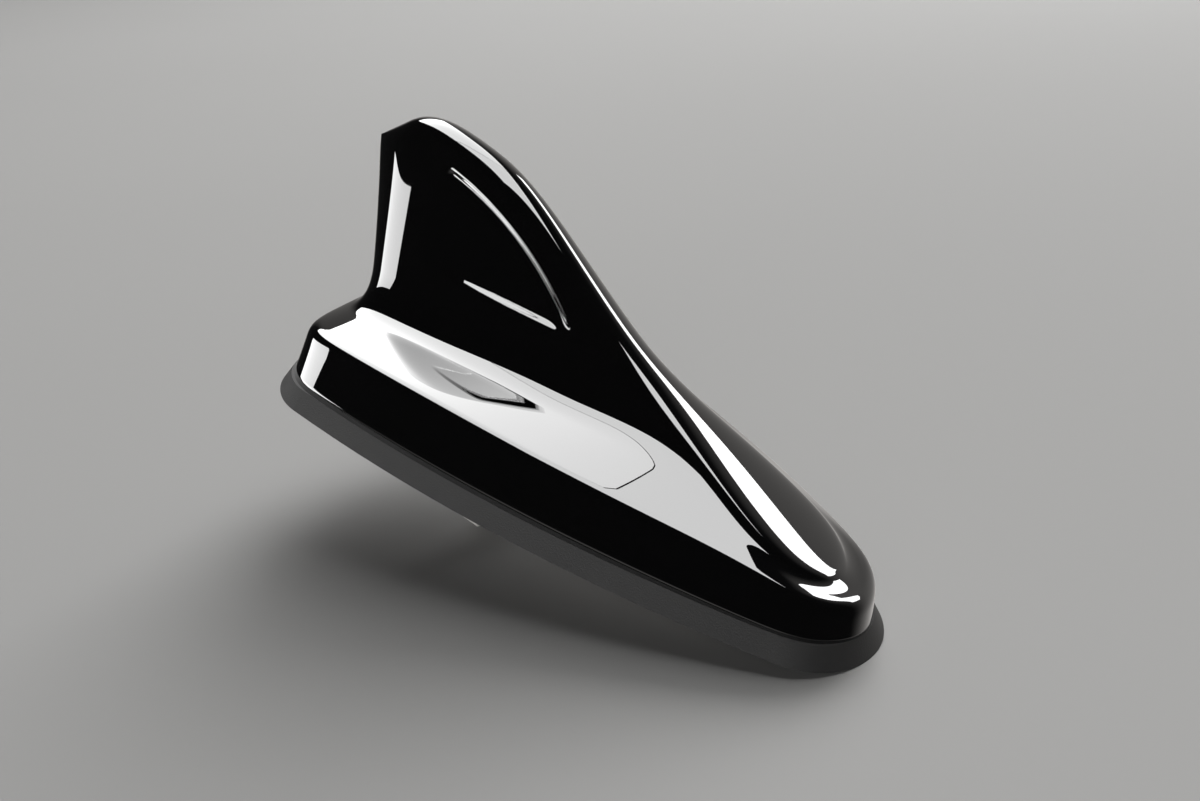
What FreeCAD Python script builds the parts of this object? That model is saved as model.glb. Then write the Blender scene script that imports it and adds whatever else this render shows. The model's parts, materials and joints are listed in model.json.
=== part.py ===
import FreeCAD, Part
import math
import os
import Sketcher
from FreeCAD import Placement, Rotation, Vector

# Shark fin antenna for a car roof. Millimetres, +X to the nose, +Z up.
# The origin is on the mounting bolt's axis, in the roof plane under the gasket.

doc = FreeCAD.newDocument("shark_fin_antenna")
sheet = doc.addObject("Spreadsheet::Sheet", "sizes")

SIZES = {
    # Seam outline of the cover: tangent arcs round tail, corners, sides and nose
    "cover_length": 166.0,
    "cover_width": 66.5,
    "tail_reach": 60.0,
    "widest_from_tail": 20.4,
    "tail_radius": 62.0,
    "corner_radius": 14.4,
    "nose_radius": 14.8,
    # Cover wall and shoulder crease
    "cover_wall": 2.2,
    "tail_draft": 6.5,
    "wall_draft": 2.7,
    "nose_draft": 0.8,
    "shoulder_tail": 15.0,
    "shoulder_mid": 16.5,
    "shoulder_nose": 8.5,
    "tail_drop": 3.0,
    "tail_round": 5.0,
    "shoulder_round": 1.3,
    "nose_round": 3.0,
    # Fin root: half widths and heights above the seam, from tail to nose
    "root_tail_gap": 9.5,
    "root_nose_gap": 6.5,
    "root_tail_run": 13.0,
    "root_nose_run": 14.0,
    "root_half": 11.2,
    "root_wide_from_tail": 41.5,
    "waist_half": 6.4,
    "hood_half": 10.4,
    "waist_from_tail": 112.0,
    "hood_from_tail": 146.0,
    "root_rise_tail": 16.0,
    "root_rise_mid": 21.5,
    "root_rise_waist": 23.5,
    "root_rise_nose": 9.0,
    "shelf_blend": 6.0,
    "root_blend": 10.0,
    # Fin ridge seen from the side: corner points and the arcs between them
    "fin_tail_gap": 7.6,
    "fin_rear_height": 57.6,
    "peak_from_fin_rear": 19.0,
    "fin_height": 70.0,
    "brow_from_tail": 56.0,
    "brow_drop": 4.2,
    "ridge_foot_from_tail": 97.0,
    "ridge_foot_rise": 36.9,
    "spine_nose_gap": 9.5,
    "spine_nose_rise": 11.4,
    "peak_radius": 9.0,
    "brow_radius": 38.0,
    "foot_radius": 75.0,
    "ridge_half": 3.6,
    "spine_half": 5.0,
    "hood_ridge_half": 9.0,
    "ridge_tail_run": 17.0,
    "ridge_nose_run": 12.0,
    "ridge_round": 6.5,
    # Sunk side panels of the fin
    "panel_rear_from_tail": 31.0,
    "panel_front_from_tail": 84.5,
    "panel_low_rise": 34.8,
    "panel_top_rise": 61.5,
    "panel_top_from_tail": 37.0,
    "panel_bow": 5.0,
    "panel_depth": 1.0,
    "panel_corner": 2.5,
    # Roof gasket
    "gasket_height": 4.8,
    "gasket_flare": 3.0,
    "gasket_rim": 3.0,
    "gasket_floor": 1.6,
    "gasket_ring": 10.0,
    "fit_gap": 0.3,
    # Base plate with rim, posts and locating boss
    "seal_width": 2.0,
    "seal_height": 2.0,
    "rim_wall": 1.8,
    "rim_height": 4.0,
    "pillar_height": 3.2,
    "pillar_radius": 3.5,
    "post_height": 4.2,
    "post_radius": 2.5,
    "boss_length": 26.0,
    "boss_width": 15.0,
    "boss_offset": 5.5,
    "boss_depth": 5.0,
    "boss_corner": 3.0,
    "cable_offset": 11.5,
    "cable_hole": 8.0,
    # Screws
    "cover_screw": 2.9,
    "cover_screw_reach": 5.5,
    "cover_head": 5.4,
    "cover_head_height": 1.8,
    "cover_head_sink": 2.0,
    "cover_screw_tail_gap": 20.0,
    "cover_screw_side_gap": 11.75,
    "cover_screw_nose_gap": 15.0,
    "board_screw": 2.5,
    "board_screw_depth": 3.4,
    "board_head": 4.8,
    "board_head_height": 1.7,
    "thread_gap": 0.1,
    # Mounting hardware under the roof
    "hole_seal_width": 7.0,
    "bolt_size": 6.0,
    "bolt_in_boss": 8.0,
    "bolt_hex": 10.0,
    "bolt_head": 4.0,
    "bolt_drop": 25.0,
    "washer_outer": 12.5,
    "washer_thick": 1.2,
    "claw_sheet": 1.2,
    "claw_width": 10.0,
    "claw_half": 15.0,
    "claw_rise": 9.0,
    "claw_lean": 3.0,
    "clip_wall": 1.2,
    "clip_height": 3.6,
    "clip_barb": 1.6,
    "barb_width": 7.5,
    "gland_lip": 1.2,
    "gland_bore": 5.2,
    # Boards and antenna elements
    "board_thick": 1.6,
    "board_tail_gap": 10.0,
    "board_nose_gap": 26.0,
    "board_half": 17.0,
    "board_front_half": 9.5,
    "board_taper_run": 60.0,
    "post_rear_inset": 7.5,
    "post_rear_spread": 12.0,
    "post_front_inset": 11.0,
    "post_front_spread": 7.6,
    "holder_tail_gap": 21.0,
    "holder_length": 50.0,
    "holder_half": 4.0,
    "holder_height": 8.0,
    "holder_floor": 2.0,
    "upright_thick": 1.2,
    "upright_tail_gap": 17.0,
    "upright_lead": 7.0,
    "upright_peak_run": 14.0,
    "upright_brow_run": 39.0,
    "upright_rear_gap": 15.4,
    "upright_peak_gap": 11.0,
    "upright_brow_gap": 15.0,
    "upright_foot_gap": 12.0,
    "cap_sheet": 0.4,
    "cap_gap": 0.1,
    "cap_depth": 5.0,
    "cap_inset": 3.0,
    "patch_side": 18.0,
    "patch_height": 4.0,
    "patch_nose_gap": 26.0,
    "patch_margin": 2.0,
    "electrode_thick": 0.3,
    "pad_thick": 0.5,
    "pin_size": 1.0,
    "pin_offset": 2.5,
    "can_length": 30.0,
    "can_width": 11.0,
    "can_height": 3.2,
    "can_wall": 0.4,
    "can_rear_x": 30.0,
    "can_side_gap": 1.0,
    "blade_sheet": 0.5,
    "blade_foot": 3.0,
    "blade_rear_inset": 1.5,
    "blade_rear_width": 18.0,
    "blade_front_inset": 1.5,
    "blade_front_width": 12.0,
    "blade_height": 4.5,
    "spring_sheet": 0.3,
    "spring_width": 3.0,
    "spring_height": 10.0,
    "spring_foot": 3.0,
    "connector_size": 4.5,
    "connector_height": 3.2,
    "connector_x": 24.0,
    "connector_y": 6.0,
}

for row, (alias, value) in enumerate(SIZES.items(), start=1):
    sheet.set("A%d" % row, alias)
    sheet.set("B%d" % row, str(value))
    sheet.setAlias("B%d" % row, alias)
doc.recompute()


def size(alias):
    return float(sheet.get(alias))


# Heights shared by the stacked pieces
SEAM = size("gasket_height")
TAIL = -size("tail_reach")
PILLAR_TOP = SEAM + size("pillar_height")
BOARD_LOW = SEAM + size("post_height")
BOARD_TOP = BOARD_LOW + size("board_thick")
BOARD_REAR = TAIL + size("board_tail_gap")
BOARD_FRONT = TAIL + size("cover_length") - size("board_nose_gap")

# How the cover's skin is divided: spline poles, and shares of the way from tail to nose
POLE_COUNT = 22
CUBIC_DEGREE = 3
TAIL_SHARE = 0.28
CORNER_SHARE = 0.42
NOSE_START_SHARE = 0.6
NOSE_SHARE = 0.86
LONGEST_SHARE = 0.45
CROWN_WALL_RATIO = 1.4


def ease(value, stations):
    """Height or half width that eases from one (place, value) station to the next."""
    if value <= stations[0][0]:
        return stations[0][1]
    for (x0, y0), (x1, y1) in zip(stations, stations[1:]):
        if value <= x1:
            part = (value - x0) / (x1 - x0)
            return y0 + (y1 - y0) * part * part * (3 - 2 * part)
    return stations[-1][1]


def outline_arcs(offset):
    """Half outline at +Y as (centre, radius, first angle, last angle), tail to nose."""
    half = size("cover_width") / 2
    nose = size("nose_radius")
    tail = size("tail_radius")
    corner = size("corner_radius")
    nose_x = TAIL + size("cover_length") - nose
    wide_x = TAIL + size("widest_from_tail")
    side = ((nose_x - wide_x) ** 2 + half ** 2 - nose ** 2) / (2 * (half - nose))
    tail_centre = Vector(TAIL + tail, 0, 0)
    side_centre = Vector(wide_x, half - side, 0)
    nose_centre = Vector(nose_x, 0, 0)
    span = side_centre - tail_centre
    reach_tail = tail - corner
    reach_side = side - corner
    along = (reach_tail ** 2 - reach_side ** 2 + span.Length ** 2) / (2 * span.Length)
    across = math.sqrt(reach_tail ** 2 - along ** 2)
    axis = span / span.Length
    normal = Vector(-axis.y, axis.x, 0)
    candidates = [tail_centre + axis * along + normal * turn * across for turn in (-1, 1)]
    corner_centre = max(candidates, key=lambda centre: centre.y)
    first = corner_centre - tail_centre
    second = corner_centre - side_centre
    third = nose_centre - side_centre
    angle_tail = math.atan2(first.y, first.x)
    angle_side = math.atan2(second.y, second.x)
    angle_nose = math.atan2(third.y, third.x)
    return [
        (tail_centre, tail + offset, math.pi, angle_tail),
        (corner_centre, corner + offset, angle_tail, angle_side),
        (side_centre, side + offset, angle_side, angle_nose),
        (nose_centre, nose + offset, angle_nose, 0.0),
    ]


def arc_point(arc, share):
    centre, radius, first, last = arc
    angle = first + (last - first) * share
    return centre + Vector(math.cos(angle), math.sin(angle), 0) * radius


def outline_point(offset, u):
    """Point of the near half outline: u runs 0 at the tail to 1 at the nose."""
    tail, corner, side, nose = outline_arcs(offset)
    if u <= TAIL_SHARE:
        tail_length = tail[1] * abs(tail[3] - tail[2])
        corner_length = corner[1] * abs(corner[3] - corner[2])
        run = (tail_length + corner_length) * u / TAIL_SHARE
        if run <= tail_length:
            point = arc_point(tail, run / tail_length)
        else:
            point = arc_point(corner, (run - tail_length) / corner_length)
    elif u <= NOSE_SHARE:
        point = arc_point(side, (u - TAIL_SHARE) / (NOSE_SHARE - TAIL_SHARE))
    else:
        point = arc_point(nose, (u - NOSE_SHARE) / (1 - NOSE_SHARE))
    return Vector(point.x, -point.y, 0)


def outline_face(offset, z):
    """Flat face inside the full outline at height z."""
    tail, corner, side, nose = outline_arcs(offset)

    def arc(points):
        return Part.Arc(*[Vector(p.x, p.y, z) for p in points]).toShape()

    def mirrored(p):
        return Vector(p.x, -p.y, 0)

    edges = []
    for piece in (corner, side):
        points = [arc_point(piece, share) for share in (0, 0.5, 1)]
        edges.append(arc(points))
        edges.append(arc([mirrored(p) for p in points]))
    tail_end = arc_point(tail, 1)
    nose_start = arc_point(nose, 0)
    edges.append(arc([tail_end, arc_point(tail, 0), mirrored(tail_end)]))
    edges.append(arc([nose_start, arc_point(nose, 1), mirrored(nose_start)]))
    return Part.Face(Part.Wire(Part.__sortEdges__(edges)))


def outline_slab(offset, low, high):
    return outline_face(offset, low).extrude(Vector(0, 0, high - low))


def outline_ring(outer, inner, low, high):
    return outline_slab(outer, low, high).cut(outline_slab(inner, low, high))


# Side view of the ridge: straight runs joined by tangent arcs

def ridge_corners():
    rear_x = TAIL + size("fin_tail_gap")
    peak_x = rear_x + size("peak_from_fin_rear")
    nose_x = TAIL + size("cover_length") - size("spine_nose_gap")
    return [
        Vector(rear_x, 0, SEAM + size("fin_rear_height")),
        Vector(peak_x, 0, SEAM + size("fin_height")),
        Vector(TAIL + size("brow_from_tail"), 0, SEAM + size("fin_height") - size("brow_drop")),
        Vector(TAIL + size("ridge_foot_from_tail"), 0, SEAM + size("ridge_foot_rise")),
        Vector(nose_x, 0, SEAM + size("spine_nose_rise")),
    ]


def ridge_arc(before, corner, after, radius):
    """Centre, first and last tangent point and bend side of the arc at one ridge corner."""
    back = (before - corner).normalize()
    ahead = (after - corner).normalize()
    half = back.getAngle(ahead) / 2
    setback = radius / math.tan(half)
    middle = (back + ahead).normalize()
    centre = corner + middle * (radius / math.sin(half))
    return centre, corner + back * setback, corner + ahead * setback, -math.copysign(1, middle.z)


def ridge_height(x):
    """Height of the ridge line at x."""
    corners = ridge_corners()
    radii = [size("peak_radius"), size("brow_radius"), size("foot_radius")]
    for i, radius in enumerate(radii):
        centre, start, end, side = ridge_arc(corners[i], corners[i + 1], corners[i + 2], radius)
        if start.x <= x <= end.x:
            return centre.z + side * math.sqrt(radius ** 2 - (x - centre.x) ** 2)
    for start, end in zip(corners, corners[1:]):
        if x <= end.x or end is corners[-1]:
            return start.z + (end.z - start.z) * (x - start.x) / (end.x - start.x)


# Control loops of the cover's skin, tail to nose on the near side

def loop_point(u, rear_x, nose_x, rear_run, nose_run, half_width):
    """Loop with elliptic ends; its half width along the side is a function of x."""
    rear_end = rear_x + rear_run
    nose_end = nose_x - nose_run
    if u <= TAIL_SHARE:
        angle = math.pi / 2 * u / TAIL_SHARE
        return rear_end - rear_run * math.cos(angle), half_width(rear_end) * math.sin(angle)
    if u <= NOSE_SHARE:
        x = rear_end + (nose_end - rear_end) * (u - TAIL_SHARE) / (NOSE_SHARE - TAIL_SHARE)
        return x, half_width(x)
    angle = math.pi / 2 * (u - NOSE_SHARE) / (1 - NOSE_SHARE)
    return nose_end + nose_run * math.sin(angle), half_width(nose_end) * math.cos(angle)


def seam_point(u, inset):
    return outline_point(-inset, u) + Vector(0, 0, SEAM)


def around(u, tail, side, nose):
    """Value that goes from the tail's past the corner to the side's, and on to the nose's."""
    return ease(u, [(0, tail), (CORNER_SHARE, side), (NOSE_START_SHARE, side), (1, nose)])


def shoulder_point(u, inset):
    """Crease between wall and shelf: arched along the side, drawn in and lowered round the tail."""
    draft = around(u, size("tail_draft"), size("wall_draft"), size("nose_draft"))
    point = outline_point(-inset - draft, u)
    way = (point.x - TAIL) / (size("cover_length") / 2) - 1
    mean = (size("shoulder_tail") + size("shoulder_nose")) / 2
    rise = size("shoulder_mid") + way * (size("shoulder_nose") - size("shoulder_tail")) / 2
    rise += way ** 2 * (mean - size("shoulder_mid"))
    rise -= around(u, size("tail_drop"), 0, 0)
    return Vector(point.x, point.y, SEAM + rise - inset)


def root_half_width(x):
    wide = TAIL + size("root_wide_from_tail")
    waist = TAIL + size("waist_from_tail")
    hood = TAIL + size("hood_from_tail")
    return ease(x, [(wide, size("root_half")), (waist, size("waist_half")), (hood, size("hood_half"))])


def root_rise(x):
    middle = TAIL + size("cover_length") / 2
    waist = TAIL + size("waist_from_tail")
    nose = TAIL + size("cover_length")
    return ease(x, [
        (TAIL, size("root_rise_tail")),
        (middle, size("root_rise_mid")),
        (waist, size("root_rise_waist")),
        (nose, size("root_rise_nose")),
    ])


def root_point(u, inset):
    rear_x = TAIL + size("root_tail_gap") + inset
    nose_x = TAIL + size("cover_length") - size("root_nose_gap") - inset
    x, half = loop_point(u, rear_x, nose_x, size("root_tail_run"), size("root_nose_run"),
                         lambda at: root_half_width(at) - inset)
    return Vector(x, -half, SEAM + root_rise(x) - inset)


def ridge_half_width(x):
    foot = TAIL + size("ridge_foot_from_tail")
    brow = TAIL + size("brow_from_tail")
    hood = TAIL + size("hood_from_tail")
    return ease(x, [(brow, size("ridge_half")), (foot, size("spine_half")), (hood, size("hood_ridge_half"))])


def ridge_point(u, inset):
    rear_x = TAIL + size("fin_tail_gap") + inset
    nose_x = TAIL + size("cover_length") - size("spine_nose_gap") - inset
    x, half = loop_point(u, rear_x, nose_x, size("ridge_tail_run"), size("ridge_nose_run"),
                         lambda at: ridge_half_width(at) - inset)
    return Vector(x, -half, ridge_height(x) - CROWN_WALL_RATIO * inset)


def toward(start, end, distance):
    """Point on the way from start to end, short of its middle."""
    step = end - start
    share = min(distance / step.Length, LONGEST_SHARE)
    return start + step * share


def skin_profile(u, inset):
    """Control points of one profile from the seam to the ridge line."""
    seam = seam_point(u, inset)
    shoulder = shoulder_point(u, inset)
    root = root_point(u, inset)
    ridge = ridge_point(u, inset)
    edge = around(u, size("tail_round"), size("shoulder_round"), size("nose_round"))
    return {
        "seam": seam,
        "shoulder_low": toward(shoulder, seam, edge),
        "shoulder": shoulder,
        "shoulder_high": toward(shoulder, root, edge),
        "root_low": toward(root, shoulder, size("shelf_blend")),
        "root": root,
        "root_high": toward(root, ridge, size("root_blend")),
        "ridge_low": toward(ridge, root, size("ridge_round")),
        "ridge": ridge,
        "crown": Vector(ridge.x, 0, ridge.z),
    }


# Bands of the skin, by the control points that they run between. Three points make a rounded band.
OUTER_BANDS = [
    ("seam", "shoulder_low"),
    ("shoulder_low", "shoulder", "shoulder_high"),
    ("shoulder_high", "root_low"),
    ("root_low", "root", "root_high"),
    ("root_high", "ridge_low"),
    ("ridge_low", "ridge", "crown"),
]
INNER_BANDS = [
    ("seam", "shoulder"),
    ("shoulder", "root"),
    ("root", "ridge", "crown"),
]


def clamped_knots(count, degree):
    spans = count - degree
    knots = [i / spans for i in range(spans + 1)]
    mults = [degree + 1] + [1] * (spans - 1) + [degree + 1]
    return knots, mults


def pole_places(count, degree):
    """Places along u whose sampled points serve as the spline's poles."""
    knots, mults = clamped_knots(count, degree)
    flat = [k for k, m in zip(knots, mults) for _ in range(m)]
    return [sum(flat[i + 1:i + degree + 1]) / degree for i in range(count)]


def skin_poles(inset):
    """Profiles at the poles; the pole next to each end keeps the skin square to the middle plane."""
    columns = [skin_profile(u, inset) for u in pole_places(POLE_COUNT, CUBIC_DEGREE)]
    for near, end in ((columns[1], columns[0]), (columns[-2], columns[-1])):
        for name, level in end.items():
            if name != "crown":
                near[name] = Vector(level.x, near[name].y, level.z)
    return columns


def skin_faces(columns, bands):
    """Both halves of the skin, one face for each band."""
    knots, mults = clamped_knots(POLE_COUNT, CUBIC_DEGREE)
    faces = []
    for band in bands:
        degree = len(band) - 1
        surface = Part.BSplineSurface()
        grid = [[column[name] for name in band] for column in columns]
        surface.buildFromPolesMultsKnots(
            grid, mults, [degree + 1] * 2, knots, [0.0, 1.0], False, False, CUBIC_DEGREE, degree)
        near = surface.toShape()
        faces.append(near)
        faces.append(near.mirror(Vector(0, 0, 0), Vector(0, 1, 0)))
    return faces


def seam_wire(columns):
    knots, mults = clamped_knots(POLE_COUNT, CUBIC_DEGREE)
    curve = Part.BSplineCurve()
    curve.buildFromPolesMultsKnots([column["seam"] for column in columns], mults, knots, False, CUBIC_DEGREE)
    near = curve.toShape()
    return Part.Wire([near, near.mirror(Vector(0, 0, 0), Vector(0, 1, 0))])


def skin_solid(inset, bands):
    columns = skin_poles(inset)
    shell = Part.makeShell(skin_faces(columns, bands) + [Part.Face(seam_wire(columns))])
    shell.sewShape()
    solid = Part.makeSolid(shell)
    if solid.Volume < 0:
        solid.reverse()
    return solid


COVER_SCREW_REAR = TAIL + size("cover_screw_tail_gap")
COVER_SCREW_SIDE = size("cover_width") / 2 - size("cover_screw_side_gap")
COVER_SCREW_NOSE = TAIL + size("cover_length") - size("cover_screw_nose_gap")
COVER_SCREWS = [
    Vector(COVER_SCREW_REAR, -COVER_SCREW_SIDE, 0),
    Vector(COVER_SCREW_REAR, COVER_SCREW_SIDE, 0),
    Vector(COVER_SCREW_NOSE, 0, 0),
]
POST_REAR = BOARD_REAR + size("post_rear_inset")
POST_FRONT = BOARD_FRONT - size("post_front_inset")
BOARD_POSTS = [
    Vector(POST_REAR, -size("post_rear_spread"), 0),
    Vector(POST_REAR, size("post_rear_spread"), 0),
    Vector(POST_FRONT, -size("post_front_spread"), 0),
    Vector(POST_FRONT, size("post_front_spread"), 0),
]


def cylinder(radius, low, high, place):
    return Part.makeCylinder(radius, high - low, Vector(place.x, place.y, low))


def fin_side(x, rise):
    """Half width of the flat fin side at x and a height above the seam."""
    low = root_rise(x)
    high = ridge_height(x) - SEAM
    share = (rise - low) / (high - low)
    return root_half_width(x) + (ridge_half_width(x) - root_half_width(x)) * share


def panel_cutter(side):
    """Wedge that sinks one side panel: deep at its front and foot, fading out to the rear."""
    rear = (TAIL + size("panel_rear_from_tail"), size("panel_low_rise"), 0.0)
    front = (TAIL + size("panel_front_from_tail"), size("panel_low_rise"), size("panel_depth"))
    top = (TAIL + size("panel_top_from_tail"), size("panel_top_rise"), size("panel_depth"))
    out = size("cover_width")
    floor = [
        Vector(x, side * (fin_side(x, rise) - depth), SEAM + rise)
        for x, rise, depth in (rear, front, top)
    ]
    lift = Vector(0, side * out, 0)
    slope = floor[1] - floor[2]
    bow = Vector(-slope.z, 0, slope.x).normalize() * -size("panel_bow")
    if bow.z < 0:
        bow = bow * -1
    middle = (floor[1] + floor[2]) / 2 + bow
    flat = [Vector(p.x, 0, p.z) for p in (*floor, middle)]
    edges = [
        Part.LineSegment(flat[0], flat[1]).toShape(),
        Part.Arc(flat[1], flat[3], flat[2]).toShape(),
        Part.LineSegment(flat[2], flat[0]).toShape(),
    ]
    prism = Part.Face(Part.Wire(edges)).extrude(lift)
    corners = [e for e in prism.Edges if abs(e.Vertexes[0].Y - e.Vertexes[-1].Y) > out / 2]
    prism = prism.makeFillet(size("panel_corner"), corners)
    normal = (floor[1] - floor[0]).cross(floor[2] - floor[0]).normalize()
    if normal.y * side < 0:
        normal = normal * -1
    spread = 2 * size("cover_length")
    slab = Part.makeBox(spread, spread, spread, Vector(-spread / 2, -spread / 2, 0))
    slab.Placement = Placement(floor[0], Rotation(Vector(0, 0, 1), normal))
    return prism.common(slab)


def add_feature(label, shape):
    feature = doc.addObject("Part::Feature", label)
    feature.Shape = shape
    feature.Placement = Placement()
    feature.Label = label
    return feature


def one_solid(shape):
    """The single solid of a boolean's result."""
    if len(shape.Solids) != 1:
        raise ValueError("expected one solid, found %d" % len(shape.Solids))
    return shape.Solids[0]


# Cover: outer skin less the cavity, which leaves screw bosses standing, and less the panels
cavity = skin_solid(size("cover_wall"), INNER_BANDS)
for place in COVER_SCREWS:
    cavity = cavity.cut(cylinder(size("pillar_radius"), PILLAR_TOP, SEAM + size("fin_height"), place))
cover = skin_solid(0, OUTER_BANDS).cut(cavity)
for side in (-1, 1):
    cover = cover.cut(panel_cutter(side))
for place in COVER_SCREWS:
    pilot = (size("cover_screw") + size("thread_gap")) / 2
    cover = cover.cut(cylinder(pilot, PILLAR_TOP, PILLAR_TOP + size("cover_screw_reach"), place))
add_feature("fin_cover", one_solid(cover))

# Gasket: flared rubber skirt with a rim under the cover and a ledge under the base plate
FLOOR = size("gasket_floor")
RIM = size("gasket_rim")
foot_wire = outline_face(size("gasket_flare"), 0).OuterWire
skirt = Part.makeLoft([foot_wire, outline_face(0, SEAM).OuterWire], True, True)
skirt = skirt.cut(outline_slab(-RIM, FLOOR, SEAM))
skirt = skirt.cut(outline_slab(-size("gasket_ring"), 0, FLOOR))
add_feature("roof_gasket", one_solid(skirt))

# Cover seal: square rubber ring on the base plate, between its rim and the cover's wall
tail_wall = size("shoulder_tail") - size("tail_drop") - size("cover_wall")
tail_lean = size("tail_draft") * size("seal_height") / tail_wall
SEAL_OUT = size("cover_wall") + tail_lean + size("fit_gap")
SEAL_IN = SEAL_OUT + size("seal_width")
RIM_OUT = SEAL_IN + size("fit_gap")
seal = outline_ring(-SEAL_OUT, -SEAL_IN, SEAM, SEAM + size("seal_height"))
add_feature("cover_seal", one_solid(seal))


def round_block(length, width, corner, low, high):
    """Block with rounded upright edges, centred on the locating boss."""
    start = Vector(size("boss_offset") - length / 2, -width / 2, low)
    block = Part.makeBox(length, width, high - low, start)
    upright = [e for e in block.Edges if abs(e.Vertexes[0].Z - e.Vertexes[1].Z) > 0]
    return block.makeFillet(corner, upright)


# Base plate: die-cast plate with rim, screw pillars, board posts and the boss for the roof hole
BOSS_LOW = -size("boss_depth")
base = outline_slab(-RIM - size("fit_gap"), FLOOR, SEAM)
base = base.fuse(outline_ring(-RIM_OUT, -RIM_OUT - size("rim_wall"), SEAM, SEAM + size("rim_height")))
base = base.fuse(round_block(size("boss_length"), size("boss_width"), size("boss_corner"), BOSS_LOW, FLOOR))
for place in COVER_SCREWS:
    base = base.fuse(cylinder(size("pillar_radius"), SEAM, PILLAR_TOP, place))
for place in BOARD_POSTS:
    base = base.fuse(cylinder(size("post_radius"), SEAM, BOARD_LOW, place))
HEAD_SEAT = FLOOR + size("cover_head_sink")
for place in COVER_SCREWS:
    base = base.cut(cylinder(size("cover_screw") / 2 + size("thread_gap"), FLOOR, PILLAR_TOP, place))
    base = base.cut(cylinder(size("cover_head") / 2 + size("fit_gap"), FLOOR, HEAD_SEAT, place))
for place in BOARD_POSTS:
    tapped = (size("board_screw") + size("thread_gap")) / 2
    base = base.cut(cylinder(tapped, BOARD_LOW - size("board_screw_depth"), BOARD_LOW, place))
CABLE = Vector(size("cable_offset"), 0, 0)
BOLT_TOP = BOSS_LOW + size("bolt_in_boss")
base = base.cut(cylinder(size("cable_hole") / 2, BOSS_LOW, SEAM, CABLE))
base = base.cut(cylinder((size("bolt_size") + size("thread_gap")) / 2, BOSS_LOW, BOLT_TOP, Vector()))
add_feature("base_plate", one_solid(base.removeSplitter()))

# Hole seal: foam ring round the boss, from the base plate down to the roof
seal_reach = 2 * size("hole_seal_width")
ring = round_block(size("boss_length") + seal_reach, size("boss_width") + seal_reach,
                   size("boss_corner") + size("hole_seal_width"), 0, FLOOR)
gap = 2 * size("fit_gap")
ring = ring.cut(round_block(size("boss_length") + gap, size("boss_width") + gap,
                            size("boss_corner") + size("fit_gap"), 0, FLOOR))
add_feature("hole_seal", one_solid(ring))

# Retainer clip: moulded collar snapped on the boss, with a barb at each end
CLIP_LOW = BOSS_LOW
CLIP_TOP = CLIP_LOW + size("clip_height")
clip_reach = 2 * size("clip_wall")
collar = round_block(size("boss_length") + clip_reach + gap, size("boss_width") + clip_reach + gap,
                     size("boss_corner") + size("clip_wall") + size("fit_gap"), CLIP_LOW, CLIP_TOP)
for end in (-1, 1):
    face_x = size("boss_offset") + end * (size("boss_length") / 2 + size("clip_wall"))
    tip_x = face_x + end * (size("clip_barb") + size("fit_gap"))
    barb_side = -size("barb_width") / 2
    barb = Part.makePolygon([
        Vector(face_x, barb_side, CLIP_LOW),
        Vector(tip_x, barb_side, CLIP_TOP),
        Vector(face_x, barb_side, CLIP_TOP),
        Vector(face_x, barb_side, CLIP_LOW),
    ])
    collar = collar.fuse(Part.Face(barb).extrude(Vector(0, size("barb_width"), 0)))
collar = collar.cut(round_block(size("boss_length") + gap, size("boss_width") + gap,
                                size("boss_corner") + size("fit_gap"), CLIP_LOW, CLIP_TOP))
add_feature("retainer_clip", one_solid(collar))


def screw(diameter, length, head, head_height, seat, up):
    """Cheese-head screw whose shank runs up or down from its seat."""
    shank_end = seat + up * length
    head_end = seat - up * head_height
    shank = cylinder(diameter / 2, min(seat, shank_end), max(seat, shank_end), Vector())
    cap = cylinder(head / 2, min(seat, head_end), max(seat, head_end), Vector())
    return shank.fuse(cap).removeSplitter().Solids[0]


def group(label, solid, places):
    """One node of equal separate pieces."""
    copies = []
    for place in places:
        copy = solid.copy()
        copy.translate(place)
        copies.append(copy)
    add_feature(label, Part.makeCompound(copies))


SCREW_REACH = PILLAR_TOP + size("cover_screw_reach") - HEAD_SEAT - size("fit_gap")
cover_screw = screw(
    size("cover_screw"), SCREW_REACH, size("cover_head"), size("cover_head_height"), HEAD_SEAT, 1)
group("cover_screws", cover_screw, COVER_SCREWS)
BOARD_REACH = size("board_thick") + size("board_screw_depth") - size("fit_gap")
board_screw = screw(
    size("board_screw"), BOARD_REACH, size("board_head"), size("board_head_height"), BOARD_TOP, -1)
group("board_screws", board_screw, BOARD_POSTS)
connector = cylinder(size("connector_size") / 2, BOARD_LOW - size("connector_height"), BOARD_LOW, Vector())
CONNECTORS = [Vector(size("connector_x"), side * size("connector_y"), 0) for side in (-1, 1)]
group("board_connectors", connector, CONNECTORS)


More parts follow.
